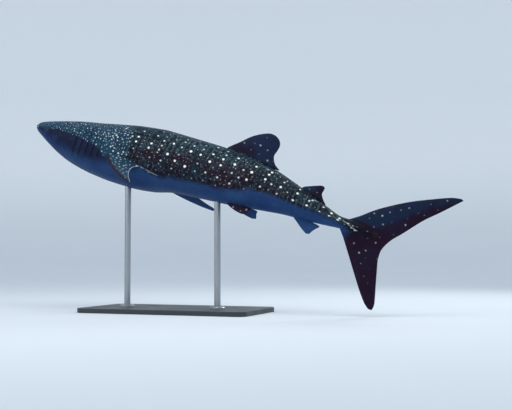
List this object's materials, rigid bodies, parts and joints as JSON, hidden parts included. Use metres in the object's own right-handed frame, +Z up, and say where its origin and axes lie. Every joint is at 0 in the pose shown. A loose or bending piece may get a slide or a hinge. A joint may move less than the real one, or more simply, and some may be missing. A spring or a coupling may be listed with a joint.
{
  "type": "whale shark model",
  "caption": "Life-size swimming whale shark with a flat broad head, spotted skin and crescent tail, held by short rods on a plain flat display stand.",
  "frame": {"origin": "centre of the flat underside of the stand's base", "axes": "+Z up, -X towards the snout, -Y towards the animal's left side"},
  "size_m": [8.6642, 3.8156, 3.8931],
  "materials": {
    "skin": "satin dark blue-teal skin with pale spots and bars above, duller blue below",
    "eye": "wet, dark, with a faint iris ring",
    "stand_paint": "satin charcoal paint",
    "stand_steel": "brushed"
  },
  "bodies": {
    "root": {"head": "skin", "torso_front": "skin", "torso_rear": "skin", "tail_stalk": "skin", "tail_fin_upper": "skin", "tail_fin_lower": "skin", "dorsal_fin_first": "skin", "dorsal_fin_second": "skin", "anal_fin": "skin", "pectoral_fin_left": "skin", "pectoral_fin_right": "skin", "pelvic_fin_left": "skin", "pelvic_fin_right": "skin", "eye_left": "eye", "eye_right": "eye", "stand_base": "stand_paint", "stand_rod_front": "stand_steel", "stand_rod_rear": "stand_steel"}
  },
  "joints": []
}
